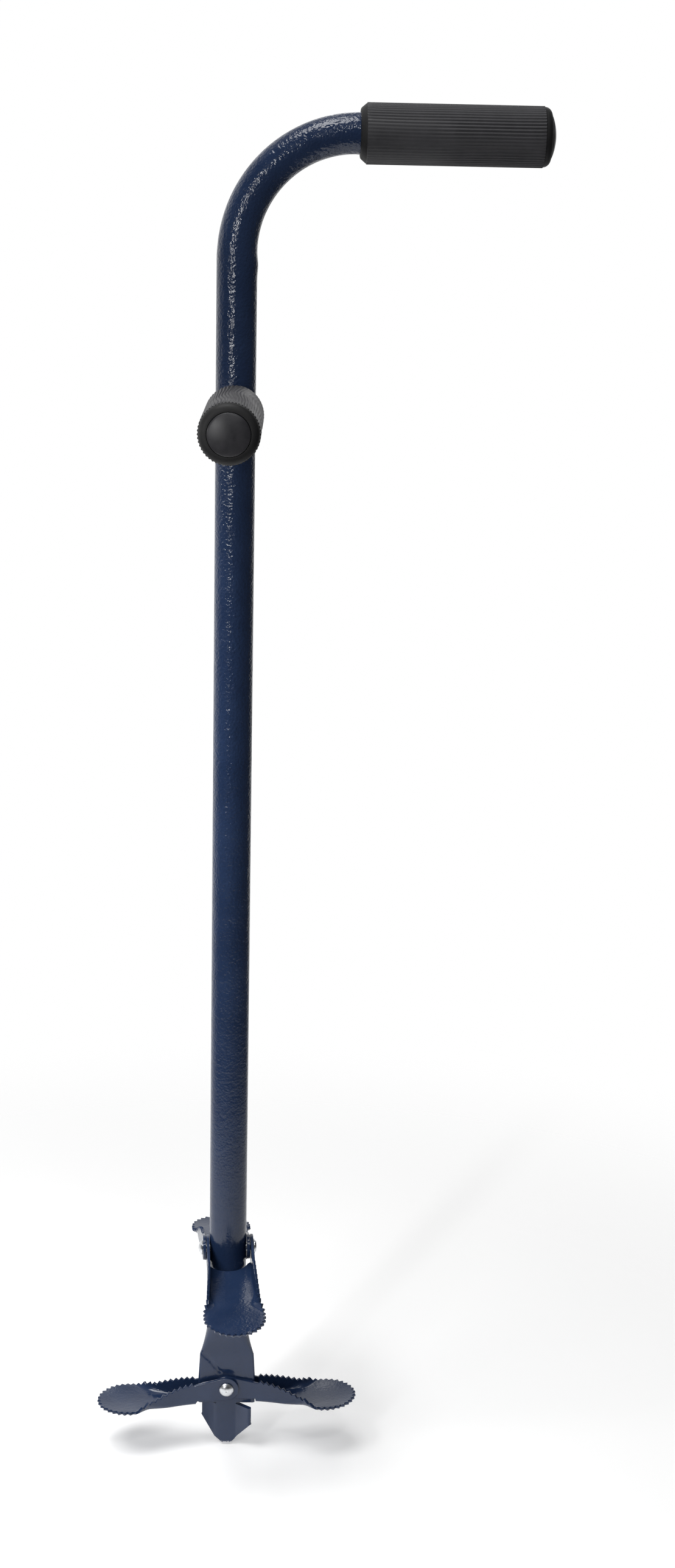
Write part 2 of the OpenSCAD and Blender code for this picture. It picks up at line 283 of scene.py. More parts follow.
def slot_index(column, side, face):
    """The ring point at a quarter index on one side and face."""
    if side > 0:
        return column if face < 0 else 2 * QUARTER - column
    return (2 * QUARTER + column) if face > 0 else (RING - column) % RING


def pressed_ring(half_width, half_thick):
    """Section of the tube pressed between flat plates, keeping the length of its wall."""
    flat = half_width - half_thick
    quarter = flat + half_thick * math.pi / 2
    ring = []
    for column, side, face in ring_slots():
        way = shares[column] * quarter
        if way < flat:
            x, y = way, half_thick
        else:
            turn = (way - flat) / half_thick
            x, y = flat + half_thick * math.sin(turn), half_thick * math.cos(turn)
        ring.append((side * x, face * y))
    return ring


def press_ring_at(z):
    """Section of the pressed foot: it flares to a corner, then widens a little more."""
    if z > PRESS_CORNER:
        way = (PRESS_TOP - z) / (PRESS_TOP - PRESS_CORNER)
        half_width = lerp(TUBE_R, CORNER_HALF, max(0.0, way) ** PRESS_FLARE)
    else:
        way = (PRESS_CORNER - z) / (PRESS_CORNER - PRESS_BOTTOM)
        half_width = lerp(CORNER_HALF, BLADE_HALF, min(1.0, way))
    closed = ease((PRESS_TOP - z) / (PRESS_TOP - PRESS_FLAT))
    half_thick = lerp(TUBE_R, WALL, closed)
    return pressed_ring(half_width, half_thick)


def press_crease(x, y, z):
    """Depth of the wrinkle and the dent that the press left in the front of the blade."""
    if y > 0:
        return 0.0
    here = Vector((x, z))
    bends = [Vector((-18.5, 72.0)), Vector((-12.7, 66.5)), Vector((-5.0, 57.0))]
    gap = math.inf
    for start, end in zip(bends, bends[1:]):
        along = end - start
        t = min(1.0, max(0.0, (here - start).dot(along) / along.length_squared))
        gap = min(gap, (here - start - along * t).length)
    dent = ((x + 0.5) / 5.5) ** 2 + ((z - 55.5) / 2.6) ** 2
    wrinkle = (gap / WRINKLE_HALF) ** 2
    return WRINKLE_DEPTH * math.exp(-wrinkle) + DENT_DEPTH * math.exp(-dent)


def flange_point(way, lift, side):
    """A point of the spear: way along the sheet from its middle, lift off its middle plane."""
    arc = FLANGE_BEND_R * FLANGE_BEND
    start = FOLD_X - FLANGE_BEND_R * math.tan(FLANGE_BEND / 2)
    turn = min(FLANGE_BEND, max(0.0, (way - start) / FLANGE_BEND_R))
    rest = max(0.0, way - start - arc)
    x = min(way, start) + FLANGE_BEND_R * math.sin(turn) + rest * math.cos(turn)
    forward = FLANGE_BEND_R * (1 - math.cos(turn)) + rest * math.sin(turn)
    # the right flange turns to the front, the left one to the back
    x += side * lift * math.sin(turn)
    return side * x, -side * forward + lift * math.cos(turn)


def spear_ring(z, narrow=1.0, thin=1.0):
    """Section of the spear below the slits."""
    half = BLADE_HALF if z > CORNER_Z else lerp(TIP_HALF, BLADE_HALF, z / CORNER_Z)
    half *= narrow
    flat = half - WALL * thin
    square = lerp(0.35, 1.0, ease((z - CORNER_Z) / 1.5))
    ring = []
    for column, side, face in ring_slots():
        if column <= FOLD_COLUMNS:
            way, lift = min(FOLD_X, flat) * column / FOLD_COLUMNS, WALL * thin
        elif column <= FLAT_COLUMNS:
            t = (column - FOLD_COLUMNS) / (FLAT_COLUMNS - FOLD_COLUMNS)
            way, lift = lerp(min(FOLD_X, flat), flat, t), WALL * thin
        else:
            turn = (column - FLAT_COLUMNS) / (QUARTER - FLAT_COLUMNS) * math.pi / 2
            way = flat + WALL * thin * math.sin(turn) ** square
            lift = WALL * thin * max(0.0, math.cos(turn)) ** square
        ring.append(flange_point(way, face * lift, side))
    return ring


def bend_ring(turn):
    """Section in the bend, a little squeezed in its plane, on the arc at this turn."""
    squeeze = BEND_SQUEEZE * math.sin(2 * turn) ** 0.6
    points = []
    for x, y in pressed_ring(TUBE_R, TUBE_R):
        out = BEND_R - x * (1 - squeeze)
        points.append((BEND_R - out * math.cos(turn), y * (1 + squeeze / 2),
                       SHAFT_TOP + out * math.sin(turn)))
    return points


def join_rings(faces, first, second, columns=range(RING)):
    """Add the faces between two rings, at some or all of their columns."""
    for k in columns:
        n = (k + 1) % RING
        faces.append((first + k, first + n, second + n, second + k))


def main_tube():
    rings = []
    # spear, from the blunt tip up to the slits
    tip = [(0.0, 0.86, 0.55), (0.35, 0.97, 0.9), (0.9, 1.0, 1.0)]
    rings += [[(x, y, z) for x, y in spear_ring(z, narrow, thin)] for z, narrow, thin in tip]
    cuts = [1.6 + 17.4 * k / 16 for k in range(16)] + [18.6, 19.0, 19.3, 19.7, 20.3, 21.5]
    cuts += [23.5, 26.0, 29.0, 31.3, SLIT_BOTTOM]
    rings += [[(x, y, z) for x, y in spear_ring(z)] for z in cuts]
    spear_count = len(rings)
    # blade and pressed foot
    heights = [lerp(SLIT_TOP, PRESS_CORNER, k / 48) for k in range(48)]
    heights += [lerp(PRESS_CORNER, PRESS_TOP, k / 36) for k in range(36)]
    for z in heights:
        rings.append([(x, y + press_crease(x, y, z), z) for x, y in press_ring_at(z)])
    # round shaft, with the small gather that the bender left on its inner side
    round_ring = pressed_ring(TUBE_R, TUBE_R)
    dense_from = SHAFT_TOP - 30
    heights = [PRESS_TOP + (dense_from - PRESS_TOP) * k / 30 for k in range(31)]
    heights += [dense_from + 2 * k for k in range(1, 15)]
    for z in heights:
        gather = GATHER * math.exp(-((z - SHAFT_TOP + 6) / 4.5) ** 2)
        rings.append([(x + gather * ease(x / TUBE_R) ** 2, y, z) for x, y in round_ring])
    bend_steps = 48
    rings += [bend_ring(math.pi / 2 * k / bend_steps) for k in range(bend_steps + 1)]
    reach = HANDLE_END - BEND_R
    for k in range(1, 9):
        rings.append([(BEND_R + reach * k / 8, y, HANDLE_Z - x) for x, y in round_ring])

    points = [p for ring in rings for p in ring]
    faces = []
    for k in range(len(rings) - 1):
        if k != spear_count - 1:
            join_rings(faces, k * RING, (k + 1) * RING)
    # across the slits only the centre strip goes on
    low, high = (spear_count - 1) * RING, spear_count * RING
    strip = [k for k in range(RING)
             if max(ring_slots()[k][0], ring_slots()[(k + 1) % RING][0]) <= FOLD_COLUMNS]
    join_rings(faces, low, high, strip)
    for side in (1, -1):
        for base in (low, high):
            for column in range(FOLD_COLUMNS, QUARTER):
                faces.append(tuple(base + slot_index(c, side, f) for c, f in
                                   ((column, -1), (column + 1, -1), (column + 1, 1), (column, 1))))
        faces.append(tuple(base + slot_index(FOLD_COLUMNS, side, f)
                           for base, f in ((low, -1), (high, -1), (high, 1), (low, 1))))
        # blunt end of the tip
        for column in range(QUARTER):
            faces.append(tuple(slot_index(c, side, f) for c, f in
                               ((column, -1), (column + 1, -1), (column + 1, 1), (column, 1))))
    faces.append(tuple((len(rings) - 1) * RING + k for k in range(RING)))
    return build("bent_tube", points, [tuple(dict.fromkeys(f)) for f in faces], sharp=35)


tube = main_tube()
navy = powder_coat("navy powder coat", TUBE_PEEL, worn_tip=True)
tube.data.materials.append(navy)
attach(tube, "frame")
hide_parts("main_tube")

# ---- side handle -------------------------------------------------------------------------
# A stub of the same tube, its end coped to the shaft and welded on with one bead all round.
# Only a short neck of it shows between the shaft and its grip.

side_low, side_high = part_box("side_handle_tube")
side_plug_low, side_plug_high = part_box("side_end_plug")
SIDE_Z = (side_low[2] + side_high[2]) / 2 / MM
side_end = Vector(((side_plug_low[0] + side_plug_high[0]) / 2 / MM,
                   (side_plug_low[1] + side_plug_high[1]) / 2 / MM))
SIDE_TURN = math.atan2(-side_end.x, -side_end.y)
SIDE_REACH = -side_low[1] / MM / math.cos(SIDE_TURN)


def on_side_handle(points):
    """Points with +Z along the handle from the shaft's axis, put in their place."""
    turn = Matrix.Rotation(-SIDE_TURN, 3, "Z") @ Matrix.Rotation(math.pi / 2, 3, "X")
    return [turn @ Vector(p) + Vector((0, 0, SIDE_Z)) for p in points]


def tube_rings(rings, closed=True):
    """Faces that join rings of equally many points and cap both ends."""
    count = len(rings[0])
    faces = []
    for k in range(len(rings) - 1):
        for i in range(count):
            n = (i + 1) % count
            faces.append((k * count + i, k * count + n, (k + 1) * count + n, (k + 1) * count + i))
    if closed:
        faces.append(tuple(range(count)))
        faces.append(tuple((len(rings) - 1) * count + i for i in range(count)))
    return faces


COPE_GAP = 0.1
BEAD_R = 2.5


def side_stub():
    """The handle's tube, from its cope on the shaft to its open end."""
    count = 64
    rings = []
    for k in range(9):
        ring = []
        for i in range(count):
            turn = 2 * math.pi * (i + 0.5) / count
            x, up = TUBE_R * math.cos(turn), TUBE_R * math.sin(turn)
            cope = math.sqrt(max(0.0, (TUBE_R + COPE_GAP) ** 2 - x * x))
            ring.append((x, up, lerp(cope, SIDE_REACH, (k / 8) ** 1.5)))
        rings.append(ring)
    points = on_side_handle([p for ring in rings for p in ring])
    return build("side_handle_stub", points, tube_rings(rings), sharp=50)


def weld_bead():
    """A bead laid in overlapping ripples round the coped joint."""
    around, across = 192, 14
    rings = []
    for k in range(around):
        turn = 2 * math.pi * k / around
        ripple = 1 + 0.09 * math.sin(34 * turn) + 0.05 * noise.noise(Vector((turn * 4, 0, 7)))
        height = math.hypot(TUBE_R * math.sin(turn), BEAD_R)
        ring = []
        for i in range(across):
            tilt = 2 * math.pi * i / across
            r = TUBE_R + 0.8 * BEAD_R * ripple * math.cos(tilt)
            ring.append((r * math.cos(turn), r * math.sin(turn),
                         height + BEAD_R * ripple * math.sin(tilt)))
        rings.append(ring)
    points = on_side_handle([p for ring in rings for p in ring])
    faces = tube_rings(rings + [rings[0]], closed=False)
    total = around * across
    return build("side_handle_bead", points, [tuple(i % total for i in f) for f in faces], 80)


for piece, node in ((side_stub(), "side_handle_tube"), (weld_bead(), "side_handle_weld")):
    piece.data.materials.append(navy)
    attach(piece, "frame")
    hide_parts(node)

# ---- grips -------------------------------------------------------------------------------
# Two sleeves of black rubber from one mould: fine ribs along their length, a plain chamfered
# band at the hand guard end and a plain rounded band at the open end. They are pushed on wet.

GRIP_R = 18.5
RIBS = 54
RIB_DEPTH = 0.62
RIB_SAMPLES = 8
MOUTH_R = 13.4
ROUND_BAND = 4.5
GRIP_LENGTH = (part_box("top_grip")[1][0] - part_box("top_grip")[0][0]) / MM
RIBS_FROM = 4.7
RIBS_TO = GRIP_LENGTH - 3.85


def grip_profile():
    """Outline of the sleeve as (distance from the open end, radius, share of rib depth)."""
    rows = [(0.0, TUBE_R + 0.35, 0), (0.0, MOUTH_R, 0)]
    for k in range(1, 9):
        turn = math.pi / 2 * k / 8
        rows.append((ROUND_BAND * (1 - math.cos(turn)),
                     MOUTH_R + (GRIP_R - 0.5 - MOUTH_R) * math.sin(turn), 0))
    rows += [(4.55, GRIP_R - 0.45, 0), (4.75, GRIP_R, 1)]
    rows += [(lerp(4.75, GRIP_LENGTH - 4.0, k / 40), GRIP_R, 1) for k in range(1, 41)]
    rows += [(GRIP_LENGTH - 3.8, GRIP_R - 0.5, 0), (GRIP_LENGTH - 3.4, GRIP_R - 0.7, 0),
             (GRIP_LENGTH - 0.8, 15.6, 0), (GRIP_LENGTH - 0.25, 15.0, 0),
             (GRIP_LENGTH, 14.3, 0), (GRIP_LENGTH, TUBE_R + 0.4, 0)]
    return rows


def rubber_grip(name, place, worn_side, twist, seed):
    """A sleeve whose ribs wander a little and are pressed flat where the palm sits."""
    count = RIBS * RIB_SAMPLES
    rings = []
    for depth, radius, ribbed in grip_profile():
        t = depth / GRIP_LENGTH
        ring = []
        for i in range(count):
            turn = 2 * math.pi * i / count
            sway = twist * math.sin(5.2 * t + seed + 1.3 * math.sin(turn + seed))
            sway += 0.5 * twist * math.sin(11 * t + 2 * turn + seed)
            phase = RIBS * (turn + sway)
            palm = math.cos(turn - worn_side) * 0.5 + 0.5
            worn = ease((palm - 0.72) / 0.2) * ease((t - 0.42) / 0.25)
            groove = (0.5 - 0.5 * math.cos(phase)) ** 1.3
            r = radius - ribbed * RIB_DEPTH * groove * (1 - 0.8 * worn)
            ring.append((r * math.cos(turn), r * math.sin(turn), -depth))
        rings.append(ring)
    rings.append(rings[0])
    points = [place(Vector(p)) for ring in rings for p in ring]
    sleeve = build(name, points, tube_rings(rings, closed=False), sharp=50)
    axis_a, axis_b = place(Vector((0, 0, -RIBS_FROM))), place(Vector((0, 0, -RIBS_TO)))
    along = (axis_b - axis_a).normalized()
    length = (axis_b - axis_a).length
    sleeve.data.materials.append(ribbed_rubber)
    sleeve.data.materials.append(band_rubber)
    for face in sleeve.data.polygons:
        way = (face.center / MM - axis_a).dot(along)
        face.material_index = 0 if 0 < way < length else 1
    return sleeve


def grip_rubber(name, dark, light, rough):
    """Rubber with a bloom of dust over it."""
    rubber = Shade(name)
    place = rubber.place()
    bloom = rubber.ramp(rubber.noise(place, 60.0, 4.0, 0.6), 0.35, 0.75)
    rubber.set(Base_Color=rubber.mix(bloom, dark, light), Roughness=rough + 0.14 * bloom,
               Specular_IOR_Level=0.4)
    rubber.bump(rubber.noise(place, 1600.0, 3.0, 0.6), 0.25, 0.12 * MM)
    return rubber.material


def at_top_end(p):
    """+Z out of the top handle's open end, +Y of the sleeve to the front."""
    return Vector((HANDLE_END + p.z, -p.y, HANDLE_Z + p.x))


def at_side_end(p):
    return on_side_handle([(p.x, p.y, p.z + SIDE_REACH)])[0]


ribbed_rubber = grip_rubber("ribbed grip rubber", (0.034, 0.034, 0.038, 1),
                            (0.052, 0.051, 0.057, 1), 0.50)
band_rubber = grip_rubber("plain band rubber", (0.009, 0.009, 0.010, 1),
                          (0.014, 0.014, 0.015, 1), 0.55)
top_grip = rubber_grip("ribbed_top_grip", at_top_end, math.radians(115), 0.012, 0.4)
side_grip = rubber_grip("ribbed_side_grip", at_side_end, math.radians(35), 0.075, 2.1)
for piece, node in ((top_grip, "top_grip"), (side_grip, "side_grip")):
    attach(piece, "frame")
    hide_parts(node)

# ---- end plugs ---------------------------------------------------------------------------
# Domed plugs of satin plastic, hammered into the tube's open ends, with a thin rim that
# stands on the tube's edge.

PLUG_DOME = plug_high[0] / MM - HANDLE_END
PLUG_DEPTH = HANDLE_END - plug_low[0] / MM


def turned(name, outline, place, count=72, capped=True):
    """A piece turned about +Z from an outline of (radius, height)."""
    rings = [[(r * math.cos(2 * math.pi * i / count), r * math.sin(2 * math.pi * i / count), z)
              for i in range(count)] for r, z in outline]
    points = [place(Vector(p)) for ring in rings for p in ring]
    return build(name, points, tube_rings(rings, closed=capped))


def dome(radius, height, edge):
    """Outline of a low dome on a short straight edge, from its rim to its middle."""
    steps = 12
    rise = height - edge
    ball = (radius ** 2 + rise ** 2) / (2 * rise)
    top = math.asin(radius / ball)
    return [(ball * math.sin(top * (1 - k / steps)),
             height - ball * (1 - math.cos(top * (1 - k / steps)))) for k in range(steps + 1)]


def plug_outline():
    """A ribbed stem, a rim on the tube's edge and a low dome."""
    stem = TUBE_R - WALL
    ribs = []
    for k in range(3):
        z = -PLUG_DEPTH + 2 + 3.2 * k
        ribs += [(stem - 0.4, z), (stem, z + 0.9), (stem, z + 1.3), (stem - 0.4, z + 1.6)]
    rows = [(0.01, -PLUG_DEPTH), (stem - 0.9, -PLUG_DEPTH)] + ribs
    rows += [(stem, 0.0), (TUBE_R - 0.15, 0.0), (TUBE_R, 0.15), (TUBE_R, 0.4)]
    cap = dome(TUBE_R - 0.25, PLUG_DOME, 0.65)
    return rows + cap[:-1] + [(0.01, PLUG_DOME)]


def plug_plastic():
    plastic = Shade("satin plug plastic")
    place = plastic.place()
    haze = plastic.ramp(plastic.noise(place, 110.0, 4.0, 0.6), 0.3, 0.75)
    plastic.set(Base_Color=plastic.mix(haze, (0.020, 0.020, 0.024, 1), (0.034, 0.033, 0.038, 1)),
                Roughness=0.40 + 0.12 * haze)
    plastic.bump(plastic.noise(place, 900.0, 3.0, 0.6), 0.12, 0.1 * MM)
    return plastic.material


satin = plug_plastic()
for name, place, node in (("top_plug_dome", at_top_end, "top_end_plug"),
                          ("side_plug_dome", at_side_end, "side_end_plug")):
    plug = turned(name, plug_outline(), place)
    plug.data.materials.append(satin)
    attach(plug, "frame")
    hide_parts(node)

# ---- rivets ------------------------------------------------------------------------------
# Two 6 mm bright zinc rivets: a domed head pressed at the works, a shank that fills its hole,
# and a tail peened over a thin washer.

PIN_R = 3.0
HEAD_R = 5.0
HEAD_H = 2.6
WASHER_T = 1.0
PIN_SIDES = 48


def pivot(name):
    """A joint's pivot in millimetres and its axis."""
    joints = frame["record"]["behaviour"]["joints"]
    joint = next(joint for joint in joints if joint["name"] == name)
    return Vector(joint["pos_m"]) / MM, Vector(joint["axis"]).normalized()


def along_pin(name, axis):
    """A placer that puts +Z along a pin through the joint's pivot."""
    centre = pivot(name)[0]
    turn = Vector((0, 0, 1)).rotation_difference(axis).to_matrix()
    return lambda p: turn @ p + centre


def rivet(name, place, half):
    """Its head stands at -half, its tail is peened over the washer at +half."""
    head = [(HEAD_R - 0.35, -half), (HEAD_R, -half - 0.3)]
    head += [(r, -half - z) for r, z in dome(HEAD_R - 0.1, HEAD_H, 0.55)[:-2]]
    head += [(0.75, -half - HEAD_H + 0.05), (0.5, -half - HEAD_H + 0.22),
             (0.01, -half - HEAD_H + 0.3)]
    tail_z = half + WASHER_T
    tail = [(PIN_R, half), (PIN_R, tail_z), (PIN_R + 0.7, tail_z), (PIN_R + 0.9, tail_z + 0.3),
            (PIN_R + 0.6, tail_z + 0.75), (PIN_R - 0.6, tail_z + 1.0), (0.01, tail_z + 0.9)]
    return turned(name, list(reversed(head)) + [(PIN_R, -half)] + tail, place,
                  count=PIN_SIDES)


def washer(name, place, half):
    """A thin ring with softened edges, its outline closed on itself."""
    inner = PIN_R + 0.05
    outline = [(inner, half), (HEAD_R - 0.15, half), (HEAD_R, half + 0.15),
               (HEAD_R, half + WASHER_T - 0.2), (HEAD_R - 0.2, half + WASHER_T),
               (inner, half + WASHER_T)]
    return turned(name, outline + outline[:1], place, count=PIN_SIDES, capped=False)


def zinc_plate():
    zinc = Shade("bright zinc")
    place = zinc.place()
    cloud = zinc.ramp(zinc.noise(place, 420.0, 4.0, 0.6), 0.3, 0.75)
    zinc.set(Base_Color=zinc.mix(cloud, (0.62, 0.64, 0.67, 1), (0.80, 0.81, 0.82, 1)),
             Roughness=0.24 + 0.16 * cloud, Metallic=1.0)
    zinc.bump(zinc.noise(place, 2200.0, 3.0, 0.6), 0.2, 0.05 * MM)
    return zinc.material


zinc = zinc_plate()
# Half of what each rivet holds: the tube or blade, two ears a side and the gaps between them
UPPER_HALF = 17.75
LOWER_HALF = 6.65
for pair, joint, pin, half in (
        ("upper", "upper_rear_fold", pivot("upper_rear_fold")[1], UPPER_HALF),
        ("lower", "lower_left_fold", Vector((0, 1, 0)), LOWER_HALF)):
    place = along_pin(joint, pin)
    for piece, node in ((rivet(pair + "_rivet_body", place, half), pair + "_rivet"),
                        (washer(pair + "_washer_ring", place, half), pair + "_rivet_washer")):
        piece.data.materials.append(zinc)
        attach(piece, "frame")
        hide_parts(node)

# ---- wings -------------------------------------------------------------------------------
# Four scoops blanked from 2 mm sheet with teeth all round their free edge, then folded up
# along two flaring lines into a floor and two walls that end in pierced ears. A pair's wings
# are one part turned half round, apart from the floor's inner edge, and their ears interleave.

SHEET = 2.0
FLOOR_DROP = 12.0
EAR_R = 8.5
WING_LEN = 89.1
PADDLE = 19.1
FOLD_END = 63.5
FLARE_START = 18.0
WALL_TOP = 3.0
TEETH_START = 22.5
TOOTH_PITCH = 3.9
TOOTH = 1.9
DISH = 1.3
FOLD_SPREAD = 1.43
EDGE_CURVE = 1.55
FOLD_R = 1.7
FOLD_R_GAIN = 6.0
CUT_ROUND = 0.28
SIDE_GAP = 0.35
PIN_GAP = 0.06

# Spacing of the blank's mesh: rows, floor, walls, the way from its rim, and how far out it goes
FILL_ROW = 1.6
FILL_FLOOR = 2.2
FILL_WALL = 2.0
FILL_CLEAR = 0.75
FILL_HALF = 45


class Blank:
    """One wing's flat blank, and how each point of it is folded into place."""

    def __init__(self, core, floor_start, notch):
        inner, outer = core + SIDE_GAP, core + 2 * SIDE_GAP + SHEET
        self.middle = (outer - inner) / 2
        self.root = (outer + inner) / 2 + SHEET
        self.floor_start = floor_start
        self.notch = notch

    def fold(self, u):
        """Half-width over the folds."""
        t = min(1.0, max(0.0, (u - FLARE_START) / (FOLD_END - FLARE_START)))
        return self.root + (PADDLE - self.root) * t ** FOLD_SPREAD

    def edge(self, u):
        """Height of the walls' edge."""
        t = min(1.0, max(0.0, (u - TEETH_START) / (FOLD_END - TEETH_START)))
        return WALL_TOP - (WALL_TOP + FLOOR_DROP) * t ** EDGE_CURVE

    def bend(self, u):
        """Radius and angle of the fold: tight at the ears, dying out into the paddle."""
        radius = FOLD_R + FOLD_R_GAIN * ease((u - 38) / 26)
        angle = math.pi / 2 * (1 - ease((u - 53) / 15))
        return radius, angle

    def start(self, u):
        """Where the fold starts across the floor."""
        radius, angle = self.bend(u)
        return self.fold(u) - SHEET / 2 - radius * math.tan(angle / 2)

    def across(self, u, w):
        """Way across the blank at which a wall reaches height w."""
        radius, angle = self.bend(u)
        rise = w + FLOOR_DROP - SHEET / 2
        top = radius * (1 - math.cos(angle))
        if rise < top:
            return self.start(u) + radius * math.acos(max(-1.0, min(1.0, 1 - rise / radius)))
        return self.start(u) + radius * angle + (rise - top) / max(0.2, math.sin(angle))

    def place(self, u, v):
        """The folded place of a point of the blank, in the wing's own frame."""
        radius, angle = self.bend(u)
        way, start = abs(v), self.start(u)
        turn = min(angle, max(0.0, (way - start) / radius))
        rest = max(0.0, way - start - radius * angle)
        y = min(way, start) + radius * math.sin(turn) + rest * math.cos(turn)
        w = radius * (1 - math.cos(turn)) + rest * math.sin(turn)
        rim = math.hypot(min(way, max(start, 0.0)), max(0.0, u - WING_LEN + PADDLE)) / PADDLE
        w += SHEET / 2 - FLOOR_DROP + DISH * rim ** 2 * ease((u - 46) / 22)
        return Vector((u, math.copysign(y, v) + self.middle, w))

    def normal(self, u, v):
        step = 0.05
        along = self.place(u + step, v) - self.place(u - step, v)
        aside = self.place(u, v + step) - self.place(u, v - step)
        return along.cross(aside).normalized()


def wall_teeth(blank):
    """Serrated edge of one wall on the blank, from the ears outward, and on round the paddle
    to its tip, as (u, way across)."""
    centre = WING_LEN - PADDLE
    steps = 600

    def base(s):
        """The smooth edge at a share s: 0 first tooth, 1 end of the fold, 2 the very tip."""
        if s <= 1:
            u = lerp(TEETH_START, FOLD_END, s)
            wall = blank.across(u, blank.edge(u))
            return Vector((u, lerp(wall, PADDLE, ease((u - 50) / (FOLD_END - 50)))))
        way = (s - 1) * (centre - FOLD_END + PADDLE * math.pi / 2)
        if way < centre - FOLD_END:
            return Vector((FOLD_END + way, PADDLE))
        turn = (way - centre + FOLD_END) / PADDLE
        return Vector((centre + PADDLE * math.sin(turn), PADDLE * math.cos(turn)))

    fine = [base(2 * k / steps) for k in range(steps + 1)]
    length = [0.0]
    for a, b in zip(fine, fine[1:]):
        length.append(length[-1] + (b - a).length)
    teeth = round(length[-1] / TOOTH_PITCH)
    line = []
    for i in range(2 * teeth + 1):
        want = length[-1] * i / (2 * teeth)
        k = min(steps - 1, max(j for j in range(steps + 1) if length[j] <= want + 1e-6))
        t = (want - length[k]) / max(1e-6, length[k + 1] - length[k])
        along = (fine[k + 1] - fine[k]).normalized()
        line.append((fine[k].lerp(fine[k + 1], t), Vector((-along.y, along.x))))
    # every second point is pushed out by a tooth
    return [p + n * TOOTH if i % 2 else p for i, (p, n) in enumerate(line)]


def half_outline(blank, side):
    """One side of the blank from the floor's inner edge round to the paddle's tip."""
    points = []
    u0 = blank.floor_start
    if blank.notch:
        # the bite round the tube, centred on the tube and not on the blank
        steps = 14
        reach = math.acos(u0 / blank.notch)
        for k in range(steps + 1):
            turn = reach * k / steps
            y = side * blank.notch * math.sin(turn) - blank.middle
            points.append((blank.notch * math.cos(turn), y))
    else:
        points.append((u0, 0.0))
    low = SHEET / 2 + 1.9 - FLOOR_DROP
    points.append((u0, side * blank.across(u0, low)))
    points.append((u0 * 0.5, side * blank.across(0, (low - EAR_R) / 2)))
    for k in range(19):
        turn = math.radians(270 - 190 * k / 18)
        points.append((EAR_R * math.cos(turn), side * blank.across(0, EAR_R * math.sin(turn))))
    points += [(p.x, side * p.y) for p in wall_teeth(blank)]
    return points


def cut_sheet(blank):
    """Triangles of the blank: outline, eye of each ear, fold lines and an even fill."""
    right, left = half_outline(blank, 1), half_outline(blank, -1)
    # both sides share their first and last point
    loops = [right + list(reversed(left[1:-1]))]
    eye_u = PIN_R + PIN_GAP
    for side in (1, -1):
        loops.append([(eye_u * math.cos(2 * math.pi * k / 32),
                       side * blank.across(0, eye_u * math.sin(2 * math.pi * k / 32)))
                      for k in range(32)])
    points, edges = [], []
    for loop in loops:
        first = len(points)
        points += [Vector(p) for p in loop]
        edges += [(first + k, first + (k + 1) % len(loop)) for k in range(len(loop))]
    polygons = [[Vector(p) for p in loop] for loop in loops]

    def inside(p):
        hits = [False] * len(polygons)
        for n, loop in enumerate(polygons):
            for a, b in zip(loop, loop[1:] + loop[:1]):
                if (a.y > p.y) != (b.y > p.y):
                    if p.x < a.x + (p.y - a.y) * (b.x - a.x) / (b.y - a.y):
                        hits[n] = not hits[n]
        return hits[0] and not any(hits[1:])

    rim = list(points)

    def clear(p):
        return all((p - q).length > FILL_CLEAR for q in rim)

    fill = []
    u = -EAR_R
    row = 0
    while u < WING_LEN:
        radius, angle = blank.bend(u)
        start = blank.start(u)
        ways = [start + radius * angle * k / 6 for k in range(7)] if angle > 0.02 else []
        flat = max(1.0, start)
        columns = max(1, round(2 * flat / FILL_FLOOR))
        ways_here = [side * way for way in ways for side in (1, -1)]
        ways_here += [lerp(-flat, flat, (k + 0.5 * (row % 2)) / columns) for k in range(columns)]
        top = start + radius * angle
        k = 1
        while top + FILL_WALL * k < FILL_HALF:
            ways_here += [top + FILL_WALL * k, -top - FILL_WALL * k]
            k += 1
        for v in ways_here:
            p = Vector((u, v))
            if inside(p) and clear(p):
                fill.append(p)
        u += FILL_ROW
        row += 1
    points += fill
    result = geometry.delaunay_2d_cdt(points, edges, [], 0, 1e-5)
    verts, triangles = result[0], result[2]
    kept = []
    for tri in triangles:
        middle = sum((verts[i] for i in tri), Vector((0, 0))) / len(tri)
        if inside(middle):
            kept.append(tri)
    return verts, kept


